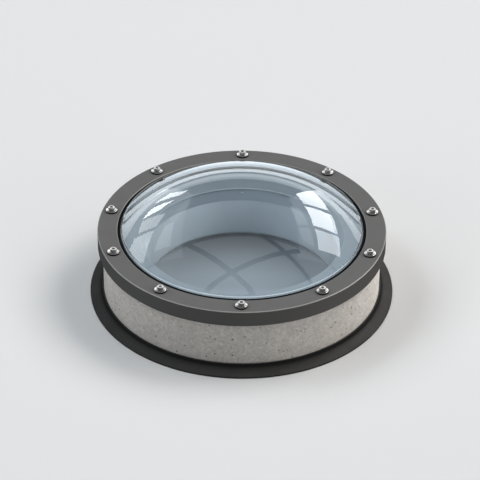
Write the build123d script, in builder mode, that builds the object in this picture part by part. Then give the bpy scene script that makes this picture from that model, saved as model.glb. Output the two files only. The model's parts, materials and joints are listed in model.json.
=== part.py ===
from build123d import *

import os
from math import asin, cos, degrees, radians, sin, tan

# Round dome skylight on a precast concrete kerb, in millimetres.
# The origin is the centre of the base, on the roof surface. +Z is up, and -Y is the front.
# A rubber flashing seats the kerb on the roof. A carrier ring is anchored to the kerb's top, and
# the screws of a clamp ring hold the flange of a clear dome down on it, between two gaskets.

# Fits that several pieces share
seat_gap = 0.3
thread_gap = 0.1

# Places of the clamp screws: one in front, one behind, and these turns from the front on both sides
front_angle = -90.0
screw_side_angles = (35.5, 70.0, 102.0, 139.0)

# Concrete kerb
kerb_outer_d = 584.0
kerb_wall = 87.0
kerb_height = 126.0
kerb_arris = 2.5

# Rubber base flashing: a foot under the kerb, a collar against it and a coved skirt
foot_thickness = 4.0
foot_reach = 40.0
flashing_height = 18.0
collar_thickness = 3.5
skirt_reach = 29.0
skirt_edge = 3.5
collar_round_share = 0.4
skirt_round_share = 0.3

# Bedding tape and carrier ring
tape_thickness = 2.0
carrier_thickness = 8.0
carrier_setback = 1.0
carrier_lip_depth = 42.0
carrier_lip_thickness = 8.0
carrier_splay_width = 9.0
carrier_splay_height = 20.0
carrier_bead_radius = 2.2
carrier_arris = 1.5

# Anchor screws that hold the carrier ring to the kerb
anchor_d = 7.5
anchor_head_d = 14.0
anchor_length = 50.0
anchor_inset = 15.0
anchor_socket_width = 5.0
anchor_socket_depth = 2.5
anchor_cone_angle = 90.0
anchor_hole_spare = 3.0

# Clamp ring: a flat ring with a skirt that laps over the joint
ring_width = 41.5
ring_thickness = 6.0
ring_height = 34.5
ring_skirt_thickness = 6.0
ring_skirt_gap = 4.5
ring_outer_arris = 1.6
ring_inner_arris = 1.2

# Dome: a spherical cap on a short upright neck, with a flat flange to be clamped
dome_thickness = 4.0
dome_rise = 90.0
neck_gap = 7.0
neck_fillet = 3.0
shoulder_inner_radius = 4.0
shoulder_drop = 1.0
flange_gap = 2.0
flange_hole_gap = 1.0

# Gaskets above and below the dome's flange
lower_gasket_thickness = 4.0
lower_gasket_setback = 2.0
upper_gasket_thickness = 3.0
upper_lip_drop = 0.6
upper_lip_round_share = 0.35

# Clamp screws, with their sleeves, rubber seals and domed cover washers
screw_d = 8.0
screw_head_d = 14.6
screw_head_height = 5.5
screw_head_round_share = 0.3
screw_socket_width = 6.0
screw_socket_depth = 3.2
screw_socket_chamfer = 0.5
screw_tip_gap = 1.0
screw_tip_chamfer = 1.0
ring_hole_gap = 0.5
sleeve_wall = 1.7
seal_d = 25.6
seal_thickness = 2.6
washer_d = 25.0
washer_rim = 0.7
washer_height = 2.4
washer_land = 0.6

# Heights of the stack, from the roof up
kerb_top_z = kerb_height
carrier_bottom_z = kerb_top_z + tape_thickness
carrier_top_z = carrier_bottom_z + carrier_thickness
flange_bottom_z = carrier_top_z + lower_gasket_thickness
flange_top_z = flange_bottom_z + dome_thickness
ring_bottom_z = flange_top_z + upper_gasket_thickness
ring_top_z = ring_bottom_z + ring_thickness
washer_bottom_z = ring_top_z + seal_thickness
head_bottom_z = washer_bottom_z + washer_height

# Radii, from the kerb out to the ring and back in to the dome
kerb_outer_r = kerb_outer_d / 2
kerb_inner_r = kerb_outer_r - kerb_wall
rebate_r = kerb_inner_r + carrier_lip_thickness + seat_gap
carrier_outer_r = kerb_outer_r - carrier_setback
ring_skirt_inner_r = kerb_outer_r + ring_skirt_gap
ring_outer_r = ring_skirt_inner_r + ring_skirt_thickness
ring_inner_r = ring_outer_r - ring_width
screw_circle_r = ring_outer_r - ring_width / 2
anchor_circle_r = screw_circle_r - anchor_inset
neck_outer_r = ring_inner_r - neck_gap
neck_inner_r = neck_outer_r - dome_thickness
flange_outer_r = ring_skirt_inner_r - flange_gap
sleeve_inner_r = screw_d / 2 + seat_gap
sleeve_outer_r = sleeve_inner_r + sleeve_wall

# Turns from the front: the anchors stand midway between the clamp screws
screw_turns = (0, *screw_side_angles, 180)
anchor_turns = [(near + far) / 2 for near, far in zip(screw_turns, screw_turns[1:])]


def on_both_sides(radius, turns):
    """Places on a circle at turns from the front on both sides, each of them facing outwards."""
    places = []
    for turn in sorted({turn % 360 for turn in turns} | {-turn % 360 for turn in turns}):
        angle = front_angle + turn
        position = (radius * cos(radians(angle)), radius * sin(radians(angle)), 0)
        places.append(Location(position, (0, 0, angle)))
    return places


def save(piece, name):
    """Label one finished piece and write it as the node of that name."""
    piece.part.label = name
    export_step(piece.part, f"parts/{name}.step")


os.makedirs("parts", exist_ok=True)

# Base flashing: the cove is a quarter ellipse, upright at the collar and flat at the skirt's edge
collar_inner_r = kerb_outer_r + seat_gap
collar_outer_r = collar_inner_r + collar_thickness
skirt_r = kerb_outer_r + skirt_reach
foot_inner_r = kerb_outer_r - foot_reach

with BuildPart() as base_flashing:
    with BuildSketch(Plane.XZ):
        with BuildLine():
            EllipticalCenterArc(
                (skirt_r, flashing_height),
                skirt_r - collar_outer_r,
                flashing_height - skirt_edge,
                start_angle=180,
                arc_size=90,
            )
            Polyline(
                (skirt_r, skirt_edge),
                (skirt_r, 0),
                (foot_inner_r, 0),
                (foot_inner_r, foot_thickness),
                (collar_inner_r, foot_thickness),
                (collar_inner_r, flashing_height),
                (collar_outer_r, flashing_height),
            )
        make_face()
    revolve(axis=Axis.Z)
    collar_edges = base_flashing.edges().group_by(Axis.Z)[-1]
    fillet(collar_edges, collar_thickness * collar_round_share)
    skirt_edges = base_flashing.edges().filter_by(GeomType.CIRCLE).sort_by(SortBy.RADIUS)[-2:]
    fillet(skirt_edges.sort_by(Axis.Z)[-1], skirt_edge * skirt_round_share)
save(base_flashing, "base_flashing")

# Concrete kerb: a cast ring, rebated inside its top for the carrier's lip and under its outer edge
# for the flashing's foot
lip_bottom_z = carrier_bottom_z - carrier_lip_depth
rebate_bottom_z = lip_bottom_z - seat_gap
foot_rebate_r = foot_inner_r - seat_gap
anchor_hole_r = anchor_d / 2 + seat_gap
anchor_tip_z = carrier_top_z - anchor_length
anchor_hole_depth = kerb_top_z - anchor_tip_z + anchor_hole_spare

with BuildPart() as concrete_kerb:
    with BuildSketch(Plane.XZ):
        with BuildLine():
            Polyline(
                (kerb_inner_r, 0),
                (foot_rebate_r, 0),
                (foot_rebate_r, foot_thickness),
                (kerb_outer_r, foot_thickness),
                (kerb_outer_r, kerb_top_z),
                (rebate_r, kerb_top_z),
                (rebate_r, rebate_bottom_z),
                (kerb_inner_r, rebate_bottom_z),
                close=True,
            )
        make_face()
    revolve(axis=Axis.Z)
    bottom_edges = concrete_kerb.edges().group_by(Axis.Z)[0]
    top_outer_edge = concrete_kerb.edges().group_by(Axis.Z)[-1].sort_by(SortBy.RADIUS)[-1]
    chamfer(bottom_edges + ShapeList([top_outer_edge]), kerb_arris)
    with Locations((0, 0, kerb_top_z)):
        with Locations(*on_both_sides(anchor_circle_r, anchor_turns)):
            Hole(anchor_hole_r, anchor_hole_depth)
save(concrete_kerb, "concrete_kerb")

# Bedding tape between the kerb and the carrier ring
with BuildPart() as bedding_tape:
    with BuildSketch(Plane.XY.offset(kerb_top_z)):
        Circle(carrier_outer_r)
        Circle(rebate_r, mode=Mode.SUBTRACT)
        with Locations(*on_both_sides(anchor_circle_r, anchor_turns)):
            Circle(anchor_hole_r, mode=Mode.SUBTRACT)
    extrude(amount=tape_thickness)
save(bedding_tape, "bedding_tape")

# Carrier ring: a flange whose lip lines the top of the kerb's bore. The mouth is splayed to let in
# more light, and a half-round bead runs along the foot of the splay.
carrier_lip_outer_r = kerb_inner_r + carrier_lip_thickness
bead_z = carrier_top_z - carrier_splay_height

with BuildPart() as carrier_ring:
    with BuildSketch(Plane.XZ):
        with BuildLine():
            Polyline(
                (kerb_inner_r, bead_z - carrier_bead_radius),
                (kerb_inner_r, lip_bottom_z),
                (carrier_lip_outer_r, lip_bottom_z),
                (carrier_lip_outer_r, carrier_bottom_z),
                (carrier_outer_r, carrier_bottom_z),
                (carrier_outer_r, carrier_top_z),
                (kerb_inner_r + carrier_splay_width, carrier_top_z),
                (kerb_inner_r, bead_z + carrier_bead_radius),
            )
            CenterArc((kerb_inner_r, bead_z), carrier_bead_radius, 90, 180)
        make_face()
    revolve(axis=Axis.Z)
    fillet(carrier_ring.edges().group_by(Axis.Z)[-1].sort_by(SortBy.RADIUS)[0], carrier_arris)
    with Locations((0, 0, carrier_top_z)):
        with Locations(*on_both_sides(screw_circle_r, screw_turns)):
            Hole(screw_d / 2 + thread_gap, carrier_thickness)
        with Locations(*on_both_sides(anchor_circle_r, anchor_turns)):
            CounterSinkHole(
                anchor_hole_r,
                anchor_head_d / 2 + seat_gap,
                carrier_thickness,
                counter_sink_angle=anchor_cone_angle,
            )
save(carrier_ring, "carrier_ring")

# Anchor screws: countersunk, with heads flush under the lower gasket
anchor_cone_height = (anchor_head_d - anchor_d) / 2 / tan(radians(anchor_cone_angle / 2))

with BuildPart() as anchor_screw:
    with BuildSketch(Plane.XZ):
        with BuildLine():
            Polyline(
                (0, anchor_tip_z),
                (anchor_d / 2, anchor_tip_z),
                (anchor_d / 2, carrier_top_z - anchor_cone_height),
                (anchor_head_d / 2, carrier_top_z),
                (0, carrier_top_z),
                close=True,
            )
        make_face()
    revolve(axis=Axis.Z)
    with BuildSketch(Plane.XY.offset(carrier_top_z)):
        RegularPolygon(anchor_socket_width / 2, 6, major_radius=False)
    extrude(amount=-anchor_socket_depth, mode=Mode.SUBTRACT)

with BuildPart() as anchor_screws:
    with Locations(*on_both_sides(anchor_circle_r, anchor_turns)):
        add(anchor_screw.part)
save(anchor_screws, "anchor_screws")

# Lower gasket: a flat rubber ring under the dome's flange
with BuildPart() as lower_gasket:
    with BuildSketch(Plane.XY.offset(carrier_top_z)):
        Circle(flange_outer_r)
        Circle(neck_inner_r + lower_gasket_setback, mode=Mode.SUBTRACT)
        with Locations(*on_both_sides(screw_circle_r, screw_turns)):
            Circle(sleeve_outer_r + seat_gap, mode=Mode.SUBTRACT)
    extrude(amount=lower_gasket_thickness)
save(lower_gasket, "lower_gasket")

# Dome: one formed sheet of even thickness. The shoulder arc is tangent to the upright neck and to
# the cap, which fixes the cap's radius for a given rise.
shoulder_radius = shoulder_inner_radius + dome_thickness
shoulder_z = ring_top_z - shoulder_drop
shoulder_centre_r = neck_outer_r - shoulder_radius
apex_z = shoulder_z + dome_rise
cap_radius = (shoulder_centre_r**2 + dome_rise**2 - shoulder_radius**2) / (2 * (dome_rise - shoulder_radius))
cap_centre_z = apex_z - cap_radius
cap_half_angle = degrees(asin(shoulder_centre_r / (cap_radius - shoulder_radius)))
fillet_centre_r = neck_outer_r + neck_fillet
fillet_centre_z = flange_top_z + neck_fillet
fillet_inner_radius = neck_fillet + dome_thickness

with BuildPart() as dome:
    with BuildSketch(Plane.XZ):
        with BuildLine():
            # Outside, from the crown down to the flange
            CenterArc((0, cap_centre_z), cap_radius, 90 - cap_half_angle, cap_half_angle)
            CenterArc((shoulder_centre_r, shoulder_z), shoulder_radius, 0, 90 - cap_half_angle)
            Line((neck_outer_r, shoulder_z), (neck_outer_r, fillet_centre_z))
            CenterArc((fillet_centre_r, fillet_centre_z), neck_fillet, 180, 90)
            Polyline(
                (fillet_centre_r, flange_top_z),
                (flange_outer_r, flange_top_z),
                (flange_outer_r, flange_bottom_z),
                (fillet_centre_r, flange_bottom_z),
            )
            # Inside, from the flange up to the crown
            CenterArc((fillet_centre_r, fillet_centre_z), fillet_inner_radius, 180, 90)
            Line((neck_inner_r, fillet_centre_z), (neck_inner_r, shoulder_z))
            CenterArc((shoulder_centre_r, shoulder_z), shoulder_inner_radius, 0, 90 - cap_half_angle)
            CenterArc((0, cap_centre_z), cap_radius - dome_thickness, 90 - cap_half_angle, cap_half_angle)
            Line((0, apex_z - dome_thickness), (0, apex_z))
        make_face()
    revolve(axis=Axis.Z)
    with Locations((0, 0, flange_top_z)):
        with Locations(*on_both_sides(screw_circle_r, screw_turns)):
            Hole(sleeve_outer_r + flange_hole_gap, dome_thickness)
save(dome, "dome")

# Upper gasket: a flat leg under the clamp ring and a lip in the gap beside the dome's neck
lip_inner_r = neck_outer_r + seat_gap
lip_outer_r = ring_inner_r - seat_gap
lip_top_z = ring_top_z - upper_lip_drop

with BuildPart() as upper_gasket:
    with BuildSketch(Plane.XZ):
        with BuildLine():
            Polyline(
                (fillet_centre_r + seat_gap, flange_top_z),
                (flange_outer_r, flange_top_z),
                (flange_outer_r, ring_bottom_z),
                (lip_outer_r, ring_bottom_z),
                (lip_outer_r, lip_top_z),
                (lip_inner_r, lip_top_z),
                (lip_inner_r, fillet_centre_z + seat_gap),
                close=True,
            )
        make_face()
    revolve(axis=Axis.Z)
    lip_edges = upper_gasket.edges().group_by(Axis.Z)[-1]
    fillet(lip_edges, (lip_outer_r - lip_inner_r) * upper_lip_round_share)
    with Locations((0, 0, ring_bottom_z)):
        with Locations(*on_both_sides(screw_circle_r, screw_turns)):
            Hole(sleeve_outer_r + seat_gap, upper_gasket_thickness)
save(upper_gasket, "upper_gasket")

# Spacer sleeves: they carry the screws' clamping force past the dome's flange
with BuildPart() as spacer_sleeves:
    with BuildSketch(Plane.XY.offset(carrier_top_z)):
        with Locations(*on_both_sides(screw_circle_r, screw_turns)):
            Circle(sleeve_outer_r)
            Circle(sleeve_inner_r, mode=Mode.SUBTRACT)
    extrude(amount=ring_bottom_z - carrier_top_z)
save(spacer_sleeves, "spacer_sleeves")

# Clamp ring: its skirt hangs outside the kerb and sheds the water
ring_skirt_bottom_z = ring_top_z - ring_height
ring_hole_r = screw_d / 2 + ring_hole_gap

with BuildPart() as clamp_ring:
    with BuildSketch(Plane.XZ):
        with BuildLine():
            Polyline(
                (ring_inner_r, ring_bottom_z),
                (ring_skirt_inner_r, ring_bottom_z),
                (ring_skirt_inner_r, ring_skirt_bottom_z),
                (ring_outer_r, ring_skirt_bottom_z),
                (ring_outer_r, ring_top_z),
                (ring_inner_r, ring_top_z),
                close=True,
            )
        make_face()
    revolve(axis=Axis.Z)
    chamfer(clamp_ring.edges().group_by(Axis.Z)[-1].sort_by(SortBy.RADIUS)[0], ring_inner_arris)
    chamfer(clamp_ring.edges().group_by(Axis.Z)[-1].sort_by(SortBy.RADIUS)[-1], ring_outer_arris)
    with Locations((0, 0, ring_top_z)):
        with Locations(*on_both_sides(screw_circle_r, screw_turns)):
            Hole(ring_hole_r, ring_thickness)
save(clamp_ring, "clamp_ring")

# Rubber seals under the cover washers
with BuildPart() as seal_washers:
    with BuildSketch(Plane.XY.offset(ring_top_z)):
        with Locations(*on_both_sides(screw_circle_r, screw_turns)):
            Circle(seal_d / 2)
            Circle(sleeve_inner_r, mode=Mode.SUBTRACT)
    extrude(amount=seal_thickness)
save(seal_washers, "seal_washers")

# Cover washers: a rounded shoulder falls from a flat land under the screw's head to a low rim
washer_r = washer_d / 2
land_r = screw_head_d / 2 + washer_land
washer_top_z = washer_bottom_z + washer_height
washer_rim_z = washer_bottom_z + washer_rim

with BuildPart() as cover_washer:
    with BuildSketch(Plane.XZ):
        with BuildLine():
            EllipticalCenterArc(
                (land_r, washer_rim_z),
                washer_r - land_r,
                washer_height - washer_rim,
                start_angle=0,
                arc_size=90,
            )
            Polyline(
                (land_r, washer_top_z),
                (sleeve_inner_r, washer_top_z),
                (sleeve_inner_r, washer_bottom_z),
                (washer_r, washer_bottom_z),
                (washer_r, washer_rim_z),
            )
        make_face()
    revolve(axis=Axis.Z)

with BuildPart() as cover_washers:
    with Locations(*on_both_sides(screw_circle_r, screw_turns)):
        add(cover_washer.part)
save(cover_washers, "cover_washers")

# Clamp screws: round heads with a hexagon socket
head_top_z = head_bottom_z + screw_head_height
screw_tip_z = carrier_bottom_z + screw_tip_gap

with BuildPart() as clamp_screw:
    with BuildSketch(Plane.XY.offset(head_bottom_z)):
        Circle(screw_head_d / 2)
    extrude(amount=screw_head_height)
    fillet(clamp_screw.edges().group_by(Axis.Z)[-1], screw_head_height * screw_head_round_share)
    with BuildSketch(Plane.XY.offset(head_bottom_z)):
        Circle(screw_d / 2)
    extrude(amount=screw_tip_z - head_bottom_z)
    chamfer(clamp_screw.edges().group_by(Axis.Z)[0], screw_tip_chamfer)
    with BuildSketch(Plane.XY.offset(head_top_z)):
        RegularPolygon(screw_socket_width / 2, 6, major_radius=False)
    extrude(amount=-screw_socket_depth, mode=Mode.SUBTRACT)
    socket_edges = clamp_screw.edges().group_by(Axis.Z)[-1].filter_by(GeomType.LINE)
    chamfer(socket_edges, screw_socket_chamfer)

with BuildPart() as clamp_screws:
    with Locations(*on_both_sides(screw_circle_r, screw_turns)):
        add(clamp_screw.part)
save(clamp_screws, "clamp_screws")
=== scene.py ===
import json
import math

import bpy
from mathutils import Matrix, Vector


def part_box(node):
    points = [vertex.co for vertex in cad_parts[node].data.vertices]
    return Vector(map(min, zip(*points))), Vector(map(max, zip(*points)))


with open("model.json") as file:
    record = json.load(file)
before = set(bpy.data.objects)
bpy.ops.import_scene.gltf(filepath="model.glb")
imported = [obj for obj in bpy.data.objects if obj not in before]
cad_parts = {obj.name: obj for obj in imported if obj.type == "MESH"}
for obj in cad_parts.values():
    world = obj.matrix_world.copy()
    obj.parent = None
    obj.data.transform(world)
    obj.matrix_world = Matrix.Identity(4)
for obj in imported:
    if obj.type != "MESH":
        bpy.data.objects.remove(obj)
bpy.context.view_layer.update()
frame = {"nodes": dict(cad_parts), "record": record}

# Sizes of the skylight that the finishes and lights are set out from, in metres
ring_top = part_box("clamp_ring")[1].z
skirt_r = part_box("base_flashing")[1].x
bore = next(mount for mount in frame["record"]["mounts"] if mount["name"] == "light_shaft_bore")
bore_r = bore["dims"]["r_mm"] / 1000

# Concrete: its pores and sand, with the pores painted dark as painted shade, and the smooth coat inside,
# which turns from grey to pale towards the back as painted shade and light
PORE_DEPTH = 0.0006
SAND_HEIGHT_SHARE = 0.35
PORE_PAINTED_SHADE_SHARE = 0.85
COAT_THICKNESS = 0.002
COAT_END = 0.004
COAT_PAINTED_SHADE_SHARE = 0.35
COAT_PAINTED_LIGHT_SHARE = 0.9

# Ranges that the noise is spread over, as tones and as roughness
NOISE_RANGE = (0.3, 0.7)
SAND_TONES = (0.78, 1.22)
MOTTLE_TONES = (0.86, 1.14)
COAT_ROUGHNESS = (0.40, 0.50)
STEEL_ROUGHNESS = (0.14, 0.26)

# Depth of the grain in the smooth finishes
COAT_GRAIN_DEPTH = 0.00006
STEEL_GRAIN_DEPTH = 0.00002
RUBBER_GRAIN_DEPTH = 0.00012

# The dome's bend, where a painted highlight glows as emission in the clear sheet: heights above the ring,
# radius and soft edge
BEND_FOOT = 0.00054
BEND_FULL = 0.00189
BEND_EASE = 0.00243
BEND_TOP = 0.00378
BEND_R = 0.2506
BEND_SOFT = 0.0005
BEND_PAINTED_HIGHLIGHT = (0.24, 0.248, 0.252, 1)
BLACK = (0, 0, 0, 1)

# Camera, fitted to the photograph: a long lens, well back
IMAGE_SIZE = 480
FOCAL_PIXELS = 2500
SENSOR_WIDTH = 36.0
CAMERA_DISTANCE = 5.239
CAMERA_ELEVATION = math.radians(34.09)
CAMERA_PITCH = math.radians(34.38)
CAMERA_YAW = math.radians(-0.05)
CAMERA_ROLL = math.radians(0.38)
CAMERA_REACH = 200

# Colours of light, and brightness of the surroundings for matt and for glossy surfaces
DAY = (0.95, 0.98, 1.0)
WARM = (1.0, 0.97, 0.93)
SKY_BLUE = (0.82, 0.915, 1.0)
SURROUNDINGS = (0.955, 0.978, 1.0, 1)
MATT_SKY = 0.02
GLOSS_SKY = 0.18

# Floor, the grey disc of painted shade under the bore, and the rings of floor that the dome mirrors
FLOOR_HALF = 30.0
DISC_STEPS = 96
SHADE_DISC_PINHOLE_SHARE = 0.001
SHADE_DISC_CLEARANCE = 0.0005
SHADE_DISC_HEIGHT = 0.0004
SHADE_DISC_BACK_SHARES = (0.2, 0.98)
MIRROR_HEIGHT = 0.001
MIRROR_CLEARANCE = 0.01
HORIZON_R = 2.9
MIRROR_REACH = 14.0
NEAR_FLOOR_GLOW = 1.7
FAR_FLOOR_GLOW = 0.6

# Softboxes and the lamp over the well
SOFTBOX_SIZE = 7.48
SOFTBOX_DISTANCE = 15.0
WELL_LAMP_PLACE = (0, -0.28, 0.95)
WELL_LAMP_SIZE = (0.6, 0.3)
WELL_LAMP_GLOW = 5.2

# Walls with windows at both sides of the dome: brightness of each pane, then its corners along Y and up Z
WINDOW_X = 2.4
RIGHT_PANES = (
    (6.8, (1.1, 1.95), (2.0, 1.95), (2.45, 3.1), (1.2, 2.95)),
    (10.5, (2.15, 1.95), (3.45, 1.85), (4.75, 3.3), (2.7, 3.15)),
    (8.0, (3.85, 1.85), (6.9, 1.55), (7.1, 3.35), (5.1, 3.3)),
    (1.7, (1.35, 3.2), (2.55, 3.45), (2.8, 4.4), (1.75, 4.0)),
    (1.8, (2.8, 3.5), (4.55, 3.8), (5.6, 4.8), (3.15, 4.5)),
    (7.0, (1.1, 1.93), (2.0, 1.93), (2.05, 2.05), (1.1, 2.05)),
    (6.0, (2.15, 1.93), (3.45, 1.83), (3.55, 1.95), (2.2, 2.05)),
    (2.8, (1.6, 0.95), (7.0, 0.95), (7.0, 1.55), (1.6, 1.2)),
)
LEFT_PANES = (
    (4.4, (0.75, 1.4), (1.95, 1.5), (2.3, 2.3), (0.9, 2.0)),
    (3.6, (2.2, 1.6), (2.95, 1.55), (3.6, 2.6), (2.45, 2.35)),
    (9.0, (3.1, 1.5), (3.95, 1.6), (5.4, 2.7), (3.8, 2.1)),
    (6.4, (4.55, 1.5), (6.2, 1.85), (7.7, 3.15), (6.0, 2.65)),
    (2.2, (1.15, 2.4), (2.6, 2.85), (3.0, 3.4), (1.35, 3.3)),
    (1.1, (2.9, 2.95), (6.4, 3.9), (5.2, 4.2), (3.2, 3.6)),
    (2.4, (1.6, 0.7), (7.0, 0.85), (7.0, 1.4), (1.6, 1.15)),
)

# Pale haze round the windows: centre, facing, size and brightness
HAZE = {
    "right_haze": ((2.5, 3.9, 2.8), (-1, 0, 0), (6.4, 3.6), 0.45),
    "left_haze": ((-2.5, 4.2, 2.6), (1, 0, 0), (7.0, 3.4), 0.40),
}

# Ceiling and its dark bars, each from one place over the floor to another
CEILING_PLACE = (0, -1.1, 3.2)
CEILING_SIZE = (7.0, 4.0)
CEILING_GLOW = 0.56
BAR_HEIGHT = 3.0
BAR_WIDTH = 0.16
BARS = {
    "bar_a": ((-1.75, 1.10), (0.75, -1.55)),
    "bar_b": ((1.70, 0.74), (-1.40, -1.15)),
    "bar_c": ((0.50, 0.95), (2.60, -0.50)),
}

# Backdrop in strips: lower edge, upper edge and brightness
BACKDROP_Y = 6
BACKDROP_WIDTH = 20
BACKDROP = {
    "backdrop_low": (0.28, 0.92, 1.5),
    "backdrop_middle": (1.20, 1.75, 0.85),
    "backdrop_high": (1.75, 2.05, 0.45),
}

# Cards that stand round the front, mirrored in the dome's shoulder as a bright bead: azimuth and brightness
CARD_DISTANCE = 3.0
CARD_SIZE = (2.49, 1.3)
BEAD_CARDS = {
    "left_bead": (180, 1.0),
    "left_front_bead": (225, 1.0),
    "front_bead": (270, 0.9),
    "right_front_bead": (315, 1.0),
    "right_bead": (0, 1.0),
}


# Node helpers


def new_group(name, inputs, outputs):
    """Start a shader node group with the given named sockets, and return it with its ends."""
    group = bpy.data.node_groups.new(name, "ShaderNodeTree")
    for label, kind, value in inputs:
        socket = group.interface.new_socket(name=label, in_out="INPUT", socket_type=kind)
        socket.default_value = value
    for label, kind in outputs:
        group.interface.new_socket(name=label, in_out="OUTPUT", socket_type=kind)
    entry = group.nodes.new("NodeGroupInput")
    leave = group.nodes.new("NodeGroupOutput")
    return group, entry, leave


def add_node(tree, kind, values=None, **settings):
    """Add a node, set its plain settings and the default values of its input sockets."""
    node = tree.nodes.new(kind)
    for key, value in settings.items():
        setattr(node, key, value)
    for key, value in (values or {}).items():
        node.inputs[key].default_value = value
    return node


def join(tree, source, target):
    """Link an output socket to an input socket."""
    tree.links.new(source, target)


def math_node(tree, operation, first, second=None):
    """Add a Math node fed by sockets or plain numbers, and return its output."""
    node = add_node(tree, "ShaderNodeMath", operation=operation)
    for index, value in enumerate((first, second)):
        if value is None:
            continue
        if isinstance(value, (int, float)):
            node.inputs[index].default_value = value
        else:
            join(tree, value, node.inputs[index])
    return node.outputs[0]


def spread_node(tree, source, low, high, to_low=0.0, to_high=1.0):
    """Spread a value from one range over another, and return its output."""
    node = add_node(tree, "ShaderNodeMapRange")
    join(tree, source, node.inputs[0])
    for index, value in enumerate((low, high, to_low, to_high), start=1):
        node.inputs[index].default_value = value
    return node.outputs[0]


def mix_colours(tree, factor, first, second, blend="MIX"):
    """Add a colour Mix node fed by sockets or plain colours, and return its output."""
    node = add_node(tree, "ShaderNodeMix", data_type="RGBA", blend_type=blend)
    for socket, value in ((node.inputs[0], factor), (node.inputs[6], first), (node.inputs[7], second)):
        if isinstance(value, (int, float, tuple)):
            socket.default_value = value
        else:
            join(tree, value, socket)
    return node.outputs[2]


def place_group(tree, group, values):
    """Place a node group in a material with its own values."""
    return add_node(tree, "ShaderNodeGroup", values, node_tree=group)


def object_axes(tree):
    """The place on the object, as one vector and as three numbers."""
    place = add_node(tree, "ShaderNodeTexCoord")
    axes = add_node(tree, "ShaderNodeSeparateXYZ")
    join(tree, place.outputs["Object"], axes.inputs[0])
    return place.outputs["Object"], axes.outputs


def radius_node(tree, place):
    """The distance of a place from the upright axis of the skylight."""
    flat = add_node(tree, "ShaderNodeVectorMath", {1: (1, 1, 0)}, operation="MULTIPLY")
    radius = add_node(tree, "ShaderNodeVectorMath", operation="LENGTH")
    join(tree, place, flat.inputs[0])
    join(tree, flat.outputs[0], radius.inputs[0])
    return radius.outputs["Value"]


# Effects that several finishes share


def make_clouding():
    """Soft patches between two tones, as in poured, moulded or sprayed surfaces."""
    group, entry, leave = new_group(
        "clouding",
        [
            ("Pale", "NodeSocketColor", (0.5, 0.5, 0.5, 1)),
            ("Deep", "NodeSocketColor", (0.4, 0.4, 0.4, 1)),
            ("Patch Scale", "NodeSocketFloat", 12.0),
        ],
        [("Colour", "NodeSocketColor"), ("Value", "NodeSocketFloat")],
    )
    place = add_node(group, "ShaderNodeTexCoord")
    noise = add_node(group, "ShaderNodeTexNoise", {"Detail": 5.0, "Roughness": 0.6, "Distortion": 0.3})
    join(group, place.outputs["Object"], noise.inputs["Vector"])
    join(group, entry.outputs["Patch Scale"], noise.inputs["Scale"])
    value = spread_node(group, noise.outputs[0], 0.32, 0.68)
    colour = mix_colours(group, value, entry.outputs["Pale"], entry.outputs["Deep"])
    join(group, colour, leave.inputs["Colour"])
    join(group, value, leave.inputs["Value"])
    return group


def make_grain():
    """Fine even grain, for a tone and for a bump."""
    group, entry, leave = new_group(
        "fine_grain",
        [("Grain Scale", "NodeSocketFloat", 900.0)],
        [("Height", "NodeSocketFloat")],
    )
    place = add_node(group, "ShaderNodeTexCoord")
    noise = add_node(group, "ShaderNodeTexNoise", {"Detail": 3.0, "Roughness": 0.65})
    join(group, place.outputs["Object"], noise.inputs["Vector"])
    join(group, entry.outputs["Grain Scale"], noise.inputs["Scale"])
    join(group, noise.outputs[0], leave.inputs["Height"])
    return group


def make_pores():
    """Round pores of mixed size: a mask that is 1 inside a pore."""
    group, entry, leave = new_group(
        "cast_pores",
        [
            ("Pore Scale", "NodeSocketFloat", 130.0),
            ("Largest", "NodeSocketFloat", 0.3),
            ("Share Empty", "NodeSocketFloat", 0.5),
        ],
        [("Mask", "NodeSocketFloat")],
    )
    place = add_node(group, "ShaderNodeTexCoord")
    cells = add_node(group, "ShaderNodeTexVoronoi", {"Randomness": 1.0})
    split = add_node(group, "ShaderNodeSeparateColor")
    join(group, place.outputs["Object"], cells.inputs["Vector"])
    join(group, entry.outputs["Pore Scale"], cells.inputs["Scale"])
    join(group, cells.outputs["Color"], split.inputs[0])
    size = add_node(group, "ShaderNodeMapRange", {"From Max": 1.0, "To Min": 0.0})
    join(group, split.outputs[0], size.inputs["Value"])
    join(group, entry.outputs["Share Empty"], size.inputs["From Min"])
    join(group, entry.outputs["Largest"], size.inputs["To Max"])
    inside = math_node(group, "SUBTRACT", size.outputs[0], cells.outputs["Distance"])
    join(group, spread_node(group, inside, 0.0, 0.08), leave.inputs["Mask"])
    return group


def make_slopes():
    """Masks by slope: broken edges between flat and upright, upright faces, and level faces."""
    group, _, leave = new_group(
        "slopes",
        [],
        [
            ("Arris", "NodeSocketFloat"),
            ("Upright", "NodeSocketFloat"),
            ("Level", "NodeSocketFloat"),
        ],
    )
    face = add_node(group, "ShaderNodeNewGeometry")
    split = add_node(group, "ShaderNodeSeparateXYZ")
    join(group, face.outputs["Normal"], split.inputs[0])
    slope = math_node(group, "ABSOLUTE", split.outputs["Z"])
    halfway = math.cos(math.radians(45))
    off_middle = math_node(group, "ABSOLUTE", math_node(group, "SUBTRACT", slope, halfway))
    join(group, spread_node(group, off_middle, 0.30, 0.12), leave.inputs["Arris"])
    join(group, spread_node(group, slope, 0.55, 0.25), leave.inputs["Upright"])
    join(group, spread_node(group, slope, 0.60, 0.99), leave.inputs["Level"])
    return group


clouding = make_clouding()
fine_grain = make_grain()
cast_pores = make_pores()
slopes = make_slopes()


# Finishes


def new_finish(name, **plain):
    """Start a material with one Principled shader, and set its plain sockets."""
    material = bpy.data.materials.new(name)
    material.use_nodes = True
    tree = material.node_tree
    shader = tree.nodes["Principled BSDF"]
    for key, value in plain.items():
        shader.inputs[key.replace("_", " ")].default_value = value
    return material, tree, shader


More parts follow.
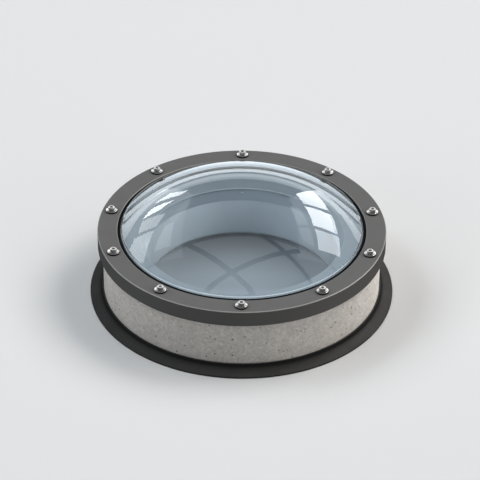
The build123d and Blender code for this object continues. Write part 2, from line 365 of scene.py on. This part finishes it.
def add_bump(tree, shader, height, distance):
    """Feed a height to the shader's normal."""
    bump = add_node(tree, "ShaderNodeBump", {"Strength": 1.0, "Distance": distance})
    join(tree, height, bump.inputs["Height"])
    join(tree, bump.outputs[0], shader.inputs["Normal"])


def make_concrete():
    """Fair-faced cast concrete with sandy grain and pores painted dark as painted shade, and a smooth coat
    inside with painted light: grey in front, pale at the back.
    """
    material, tree, shader = new_finish("cast_concrete", Roughness=0.9, Specular_IOR_Level=0.2)
    patches = place_group(
        tree,
        clouding,
        {"Pale": (0.530, 0.506, 0.479, 1), "Deep": (0.452, 0.436, 0.413, 1), "Patch Scale": 26.0},
    )
    lining = place_group(
        tree,
        clouding,
        {"Pale": (0.655, 0.705, 0.75, 1), "Deep": (0.625, 0.672, 0.718, 1), "Patch Scale": 6.0},
    )
    sand = place_group(tree, fine_grain, {"Grain Scale": 420.0})
    mottle = place_group(tree, fine_grain, {"Grain Scale": 130.0})
    pores = place_group(tree, cast_pores, {"Pore Scale": 115.0, "Largest": 0.27, "Share Empty": 0.45})
    voids = place_group(tree, cast_pores, {"Pore Scale": 48.0, "Largest": 0.15, "Share Empty": 0.58})
    speckle = spread_node(tree, sand.outputs["Height"], *NOISE_RANGE, *SAND_TONES)
    patchy = spread_node(tree, mottle.outputs["Height"], *NOISE_RANGE, *MOTTLE_TONES)
    sandy = mix_colours(tree, 1.0, patches.outputs["Colour"], speckle, "MULTIPLY")
    sandy = mix_colours(tree, 1.0, sandy, patchy, "MULTIPLY")
    # Painted shade: the pores and voids are painted near black, for the shade inside them
    holes = math_node(tree, "MAXIMUM", pores.outputs["Mask"], voids.outputs["Mask"])
    tint = math_node(tree, "MULTIPLY", holes, PORE_PAINTED_SHADE_SHARE)
    pitted = mix_colours(tree, tint, sandy, (0.10, 0.094, 0.088, 1))
    place, axes = object_axes(tree)
    # Painted light and shade: the coat inside turns from grey at the front to pale at the back
    back = spread_node(tree, axes["Y"], bore_r * COAT_PAINTED_SHADE_SHARE, bore_r * COAT_PAINTED_LIGHT_SHARE)
    coat = mix_colours(tree, back, (0.35, 0.373, 0.392, 1), lining.outputs["Colour"])
    outside = spread_node(tree, radius_node(tree, place), bore_r + COAT_THICKNESS, bore_r + COAT_END)
    join(tree, mix_colours(tree, outside, coat, pitted), shader.inputs["Base Color"])
    raised = math_node(tree, "MULTIPLY", sand.outputs["Height"], SAND_HEIGHT_SHARE)
    height = math_node(tree, "SUBTRACT", raised, holes)
    add_bump(tree, shader, math_node(tree, "MULTIPLY", height, outside), PORE_DEPTH)
    return material


def make_coated_metal(name, pale, deep, upright, edge_highlight):
    """Satin coated metal, with a painted tone on upright faces that stands in for light and shade, and a
    painted highlight on its broken edges.
    """
    material, tree, shader = new_finish(name, IOR=1.5, Specular_IOR_Level=0.25)
    patches = place_group(tree, clouding, {"Pale": pale, "Deep": deep, "Patch Scale": 9.0})
    grain = place_group(tree, fine_grain, {"Grain Scale": 1400.0})
    faces = place_group(tree, slopes, {})
    # Painted light: upright faces get their own tone, darker on the ring as painted shade, paler on the
    # carrier
    colour = mix_colours(tree, faces.outputs["Upright"], patches.outputs["Colour"], upright)
    # Painted highlight: the broken edges are painted pale, for the light they catch
    colour = mix_colours(tree, faces.outputs["Arris"], colour, edge_highlight)
    join(tree, colour, shader.inputs["Base Color"])
    sheen = spread_node(tree, patches.outputs["Value"], 0.0, 1.0, *COAT_ROUGHNESS)
    join(tree, sheen, shader.inputs["Roughness"])
    add_bump(tree, shader, grain.outputs["Height"], COAT_GRAIN_DEPTH)
    return material


def make_stainless():
    """Turned stainless steel with a soft polish."""
    material, tree, shader = new_finish("stainless_steel", Metallic=1.0)
    patches = place_group(
        tree,
        clouding,
        {"Pale": (0.70, 0.685, 0.665, 1), "Deep": (0.60, 0.587, 0.57, 1), "Patch Scale": 160.0},
    )
    grain = place_group(tree, fine_grain, {"Grain Scale": 2600.0})
    join(tree, patches.outputs["Colour"], shader.inputs["Base Color"])
    polish = spread_node(tree, grain.outputs["Height"], 0.0, 1.0, *STEEL_ROUGHNESS)
    join(tree, polish, shader.inputs["Roughness"])
    add_bump(tree, shader, grain.outputs["Height"], STEEL_GRAIN_DEPTH)
    return material


def make_rubber(name, pale, deep, steep, roughness, gloss):
    """Black sheet or moulded rubber with a fine grain and a little bloom, painted blacker where it is steep
    as painted shade.
    """
    material, tree, shader = new_finish(name, Specular_IOR_Level=gloss)
    patches = place_group(tree, clouding, {"Pale": pale, "Deep": deep, "Patch Scale": 16.0})
    grain = place_group(tree, fine_grain, {"Grain Scale": 1100.0})
    faces = place_group(tree, slopes, {})
    # Painted shade: steep faces are painted blacker, level faces keep the rubber's tone
    colour = mix_colours(tree, faces.outputs["Level"], steep, patches.outputs["Colour"])
    join(tree, colour, shader.inputs["Base Color"])
    bloom = spread_node(tree, patches.outputs["Value"], 0.0, 1.0, *roughness)
    join(tree, bloom, shader.inputs["Roughness"])
    add_bump(tree, shader, grain.outputs["Height"], RUBBER_GRAIN_DEPTH)
    return material


def make_clear_dome():
    """Clear formed sheet with a cool tint, and a painted highlight that glows as emission in its bend.
    Shadow and diffuse rays pass.
    """
    material, tree, shader = new_finish(
        "clear_dome", Roughness=0.0, IOR=1.49, Transmission_Weight=1.0, Emission_Strength=1.0
    )
    shader.inputs["Base Color"].default_value = (0.84, 0.93, 0.985, 1)
    place, axes = object_axes(tree)
    above_ring = spread_node(tree, axes["Z"], ring_top + BEND_FOOT, ring_top + BEND_FULL)
    below_cap = spread_node(tree, axes["Z"], ring_top + BEND_TOP, ring_top + BEND_EASE)
    outer_face = spread_node(tree, radius_node(tree, place), BEND_R - BEND_SOFT, BEND_R)
    bend = math_node(tree, "MULTIPLY", math_node(tree, "MULTIPLY", above_ring, below_cap), outer_face)
    # Painted highlight: the bend glows by emission, though no lamp lights it
    join(tree, mix_colours(tree, bend, BLACK, BEND_PAINTED_HIGHLIGHT), shader.inputs["Emission Color"])
    path = add_node(tree, "ShaderNodeLightPath")
    passing = math_node(tree, "MAXIMUM", path.outputs["Is Shadow Ray"], path.outputs["Is Diffuse Ray"])
    film = add_node(tree, "ShaderNodeBsdfTransparent", {"Color": (0.95, 0.965, 0.975, 1)})
    blend = add_node(tree, "ShaderNodeMixShader")
    join(tree, passing, blend.inputs[0])
    join(tree, shader.outputs[0], blend.inputs[1])
    join(tree, film.outputs[0], blend.inputs[2])
    join(tree, blend.outputs[0], tree.nodes["Material Output"].inputs["Surface"])
    return material


concrete = make_concrete()
# Clamp ring: upright faces painted darker as painted shade, broken edges paler as a painted highlight
ring_finish = make_coated_metal(
    "clamp_ring_coat",
    pale=(0.130, 0.130, 0.131, 1),
    deep=(0.120, 0.120, 0.121, 1),
    upright=(0.084, 0.083, 0.081, 1),
    edge_highlight=(0.30, 0.298, 0.294, 1),
)
# Carrier ring: upright faces painted paler as painted light, broken edges paler as a painted highlight
carrier_finish = make_coated_metal(
    "carrier_coat",
    pale=(0.265, 0.291, 0.314, 1),
    deep=(0.245, 0.270, 0.293, 1),
    upright=(0.475, 0.530, 0.580, 1),
    edge_highlight=(0.40, 0.43, 0.455, 1),
)
stainless = make_stainless()
# Rubbers: the steep tone is painted shade on steep faces
flashing_rubber = make_rubber(
    "flashing_rubber",
    pale=(0.046, 0.046, 0.046, 1),
    deep=(0.038, 0.038, 0.038, 1),
    steep=(0.008, 0.008, 0.008, 1),
    roughness=(0.45, 0.58),
    gloss=0.3,
)
seal_rubber = make_rubber(
    "seal_rubber",
    pale=(0.006, 0.006, 0.007, 1),
    deep=(0.004, 0.004, 0.005, 1),
    steep=(0.004, 0.004, 0.004, 1),
    roughness=(0.50, 0.63),
    gloss=0.15,
)
clear_dome = make_clear_dome()

FINISHES = {
    "base_flashing": flashing_rubber,
    "concrete_kerb": concrete,
    "bedding_tape": seal_rubber,
    "carrier_ring": carrier_finish,
    "anchor_screws": stainless,
    "lower_gasket": seal_rubber,
    "dome": clear_dome,
    "upper_gasket": seal_rubber,
    "spacer_sleeves": stainless,
    "clamp_ring": ring_finish,
    "seal_washers": seal_rubber,
    "cover_washers": stainless,
    "clamp_screws": stainless,
}
for node, finish in FINISHES.items():
    for slot in frame["nodes"][node].material_slots:
        slot.material = finish


# Studio: floor, lights and camera


def add_mesh(name, points, faces, material):
    """A stage mesh with one material."""
    mesh = bpy.data.meshes.new(name)
    mesh.from_pydata([tuple(point) for point in points], [], faces)
    mesh.materials.append(material)
    holder = bpy.data.objects.new(name, mesh)
    bpy.context.scene.collection.objects.link(holder)
    return holder


def add_sheet(name, corners, material):
    """A flat stage sheet with four corners."""
    return add_mesh(name, corners, [(0, 1, 2, 3)], material)


def add_disc(name, inner_r, outer_r, height, material):
    """A flat stage ring."""
    points = []
    for radius in (inner_r, outer_r):
        for step in range(DISC_STEPS):
            turn = 2 * math.pi * step / DISC_STEPS
            points.append((radius * math.cos(turn), radius * math.sin(turn), height))
    faces = []
    for step in range(DISC_STEPS):
        after = (step + 1) % DISC_STEPS
        faces.append((step, DISC_STEPS + step, DISC_STEPS + after, after))
    return add_mesh(name, points, faces, material)


def make_floor():
    """A plain pale floor that reaches past every view."""
    material, _, shader = new_finish("pale_floor", Roughness=0.85, Specular_IOR_Level=0.1)
    shader.inputs["Base Color"].default_value = (0.835, 0.85, 0.868, 1)
    turns = ((-1, -1), (1, -1), (1, 1), (-1, 1))
    add_sheet("floor", [(x * FLOOR_HALF, y * FLOOR_HALF, 0) for x, y in turns], material)


def make_painted_shade_disc():
    """A grey disc of painted shade under the bore, lighter in front as painted light and darker at the back
    as painted shade.
    """
    material, tree, shader = new_finish("painted_shade_disc", Roughness=0.9, Specular_IOR_Level=0.1)
    _, axes = object_axes(tree)
    back_from, back_to = SHADE_DISC_BACK_SHARES
    back = spread_node(tree, axes["Y"], bore_r * back_from, bore_r * back_to)
    front = spread_node(tree, axes["Y"], 0.0, -bore_r)
    # Painted light and shade: dark at the back, pale in front, grey between
    colour = mix_colours(tree, back, (0.268, 0.285, 0.302, 1), (0.125, 0.13, 0.135, 1))
    colour = mix_colours(tree, front, colour, (0.58, 0.63, 0.67, 1))
    join(tree, colour, shader.inputs["Base Color"])
    pinhole_r = bore_r * SHADE_DISC_PINHOLE_SHARE
    return add_disc("painted_shade_disc", pinhole_r, bore_r - SHADE_DISC_CLEARANCE, SHADE_DISC_HEIGHT, material)


def gather(name, nodes):
    """A collection of CAD nodes that a lamp can be kept to."""
    collection = bpy.data.collections.new(name)
    for node in nodes:
        collection.objects.link(frame["nodes"][node])
    return collection


def make_glow(name, colour, strength):
    """An even glow for a sheet that the dome mirrors."""
    material = bpy.data.materials.new(name)
    material.use_nodes = True
    tree = material.node_tree
    glow = add_node(tree, "ShaderNodeEmission", {"Color": (*colour, 1), "Strength": strength})
    join(tree, glow.outputs[0], tree.nodes["Material Output"].inputs["Surface"])
    return material


def keep_to_dome(sheet):
    """Let a sheet be seen only in the dome's reflections."""
    sheet.visible_camera = False
    sheet.visible_diffuse = False
    sheet.visible_transmission = False
    sheet.visible_shadow = False
    sheet.light_linking.receiver_collection = glazing


def make_mirrored_floor():
    """Rings on the floor that only the dome mirrors: bright for its white rim, dim near the horizon."""
    rings = {
        "mirrored_floor": (skirt_r + MIRROR_CLEARANCE, HORIZON_R, NEAR_FLOOR_GLOW),
        "mirrored_horizon": (HORIZON_R, MIRROR_REACH, FAR_FLOOR_GLOW),
    }
    for name, (inner_r, outer_r, strength) in rings.items():
        keep_to_dome(add_disc(name, inner_r, outer_r, MIRROR_HEIGHT, make_glow(name, SKY_BLUE, strength)))


def turned_matrix(side, up, out, place):
    """The matrix of a lamp or camera that looks along out, with its own right and top."""
    return Matrix(
        (
            (side.x, up.x, -out.x, place[0]),
            (side.y, up.y, -out.y, place[1]),
            (side.z, up.z, -out.z, place[2]),
            (0, 0, 0, 1),
        )
    )


def add_panel(name, centre, facing, across, size, radiance, colour, seen, kept_to=None):
    """A rectangular lamp of even brightness, seen either in gloss alone or by matt surfaces alone."""
    width, height = size
    lamp = bpy.data.lights.new(name, "AREA")
    lamp.shape = "RECTANGLE"
    lamp.size = width
    lamp.size_y = height
    lamp.color = colour
    lamp.energy = radiance * math.pi * width * height
    holder = bpy.data.objects.new(name, lamp)
    holder.visible_camera = False
    holder.visible_diffuse = seen == "matt"
    holder.visible_glossy = seen == "gloss"
    holder.visible_transmission = seen == "gloss"
    out = Vector(facing).normalized()
    side = Vector(across).normalized()
    holder.matrix_world = turned_matrix(side, side.cross(out), out, centre)
    if kept_to:
        holder.light_linking.receiver_collection = kept_to
    bpy.context.scene.collection.objects.link(holder)


def add_window(name, wall_x, panes, colour):
    """Panes of a side window on the wall at wall_x, seen only in the dome's reflections."""
    for index, (radiance, *corners) in enumerate(panes):
        label = f"{name}_{index}"
        places = [(wall_x, along, height) for along, height in corners]
        keep_to_dome(add_sheet(label, places, make_glow(label, colour, radiance)))


def add_bar(name, start, end):
    """A dark glazing bar overhead, seen only in reflections and through the dome."""
    begin = Vector((*start, BAR_HEIGHT))
    finish_at = Vector((*end, BAR_HEIGHT))
    side = (finish_at - begin).cross(Vector((0, 0, 1))).normalized() * (BAR_WIDTH / 2)
    material, _, shader = new_finish(name, Roughness=0.9)
    shader.inputs["Base Color"].default_value = (0.03, 0.03, 0.03, 1)
    corners = [begin - side, begin + side, finish_at + side, finish_at - side]
    bar = add_sheet(name, corners, material)
    bar.visible_camera = False
    bar.visible_diffuse = False
    bar.visible_shadow = False


def add_turned(name, azimuth, elevation, distance, size, radiance, colour, seen, kept_to=None):
    """A lamp that faces the skylight from a direction given in degrees from +X and up."""
    turn = math.radians(azimuth)
    lift = math.radians(elevation)
    away = Vector((math.cos(turn) * math.cos(lift), math.sin(turn) * math.cos(lift), math.sin(lift)))
    across = Vector((-math.sin(turn), math.cos(turn), 0))
    add_panel(name, away * distance, -away, across, size, radiance, colour, seen, kept_to)


def add_upright(name, azimuth, radiance):
    """A card for the dome's gloss that stands on the floor and faces the skylight."""
    turn = math.radians(azimuth)
    away = Vector((math.cos(turn), math.sin(turn), 0))
    across = Vector((-math.sin(turn), math.cos(turn), 0))
    centre = away * CARD_DISTANCE + Vector((0, 0, CARD_SIZE[1] / 2))
    add_panel(name, centre, -away, across, CARD_SIZE, radiance, DAY, "gloss", glazing)


def add_softbox(name, azimuth, elevation, radiance, colour, kept_to=None):
    """A large far square lamp for the matt surfaces."""
    size = (SOFTBOX_SIZE, SOFTBOX_SIZE)
    add_turned(name, azimuth, elevation, SOFTBOX_DISTANCE, size, radiance, colour, "matt", kept_to)


def add_glint(name, azimuth, elevation, distance, size, radiance, colour, kept_to):
    """A card that only the named pieces mirror."""
    add_turned(name, azimuth, elevation, distance, size, radiance, colour, "gloss", kept_to)


def make_world():
    """Even pale surroundings, dim for matt surfaces, which the softboxes light."""
    world = bpy.data.worlds.new("studio")
    world.use_nodes = True
    tree = world.node_tree
    background = tree.nodes["Background"]
    background.inputs["Color"].default_value = SURROUNDINGS
    path = add_node(tree, "ShaderNodeLightPath")
    level = spread_node(tree, path.outputs["Is Diffuse Ray"], 0.0, 1.0, GLOSS_SKY, MATT_SKY)
    join(tree, level, background.inputs["Strength"])
    bpy.context.scene.world = world


def make_camera():
    """The photograph's view of the skylight."""
    aim = Vector((0, 0, ring_top))
    back = Vector((0, -math.cos(CAMERA_ELEVATION), math.sin(CAMERA_ELEVATION)))
    forward = Vector(
        (
            math.sin(CAMERA_YAW) * math.cos(CAMERA_PITCH),
            math.cos(CAMERA_YAW) * math.cos(CAMERA_PITCH),
            -math.sin(CAMERA_PITCH),
        )
    )
    level = forward.cross(Vector((0, 0, 1))).normalized()
    lift = level.cross(forward)
    side = level * math.cos(CAMERA_ROLL) + lift * math.sin(CAMERA_ROLL)
    up = lift * math.cos(CAMERA_ROLL) - level * math.sin(CAMERA_ROLL)
    camera = bpy.data.cameras.new("camera")
    camera.sensor_width = SENSOR_WIDTH
    camera.lens = FOCAL_PIXELS / IMAGE_SIZE * SENSOR_WIDTH
    camera.clip_end = CAMERA_REACH
    holder = bpy.data.objects.new("camera", camera)
    holder.matrix_world = turned_matrix(side, up, forward, aim + back * CAMERA_DISTANCE)
    bpy.context.scene.collection.objects.link(holder)
    bpy.context.scene.camera = holder


glazing = gather("glazing", ["dome"])
fasteners = gather("fasteners", ["cover_washers", "clamp_screws"])
ring = gather("ring", ["clamp_ring"])
base = gather("base", ["concrete_kerb", "base_flashing"])
outside = gather("outside", ["concrete_kerb", "base_flashing", "clamp_ring"])
well = gather("well", ["concrete_kerb", "carrier_ring"])

make_floor()
well.objects.link(make_painted_shade_disc())
make_mirrored_floor()
make_world()
make_camera()

# Softboxes for the matt surfaces: azimuth and elevation in degrees, and brightness
add_softbox("right_front_box", 330, 25, 1.6, WARM)
add_softbox("right_box", 0, 50, 3.0, WARM)
add_softbox("right_back_box", 30, 50, 4.9, WARM)
add_softbox("back_box", 90, 50, 0.95, DAY)
add_softbox("left_back_box", 150, 50, 3.15, DAY)
add_softbox("left_box", 180, 50, 2.4, DAY)
add_softbox("left_front_box", 210, 25, 2.3, DAY)
add_softbox("low_right_box", 348, 25, 3.8, WARM, outside)
add_softbox("low_left_box", 180, 25, 1.0, DAY, outside)
add_softbox("low_back_box", 45, 25, 10.0, WARM, base)
add_panel(
    "well_lamp", WELL_LAMP_PLACE, (0, 0, -1), (1, 0, 0), WELL_LAMP_SIZE, WELL_LAMP_GLOW, DAY, "matt", well
)

# What the dome mirrors: windows in a haze, a ceiling with glazing bars, a backdrop, and cards in front
add_window("right_window", WINDOW_X, RIGHT_PANES, DAY)
add_window("left_window", -WINDOW_X, LEFT_PANES, DAY)
for name, (centre, facing, size, radiance) in HAZE.items():
    add_panel(name, centre, facing, (0, 1, 0), size, radiance, DAY, "gloss", glazing)
add_panel(
    "ceiling", CEILING_PLACE, (0, 0, -1), (1, 0, 0), CEILING_SIZE, CEILING_GLOW, DAY, "gloss", glazing
)
for name, (start, end) in BARS.items():
    add_bar(name, start, end)
for name, (low, high, radiance) in BACKDROP.items():
    centre = (0, BACKDROP_Y, (low + high) / 2)
    size = (BACKDROP_WIDTH, high - low)
    add_panel(name, centre, (0, -1, 0), (1, 0, 0), size, radiance, DAY, "gloss", glazing)
for name, (azimuth, radiance) in BEAD_CARDS.items():
    add_upright(name, azimuth, radiance)

# Cards for the fasteners and the ring's broken edge: azimuth, elevation, distance, size and brightness
add_glint("left_glint", 140, 22, 3.0, (3.2, 2.0), 1.5, DAY, fasteners)
add_glint("right_glint", 40, 22, 3.0, (3.2, 2.0), 1.6, DAY, fasteners)
add_glint("back_glint", 90, 38, 4.0, (3.0, 1.4), 1.1, DAY, fasteners)
add_glint("right_spark", 27, 53, 3.0, (0.9, 0.7), 4.0, DAY, fasteners)
add_glint("left_edge_light", 180, 34, 3.0, (2.4, 1.3), 4.0, DAY, ring)
add_glint("right_edge_light", 0, 34, 3.0, (2.4, 1.3), 7.0, WARM, ring)

bpy.context.scene.view_settings.view_transform = "Standard"
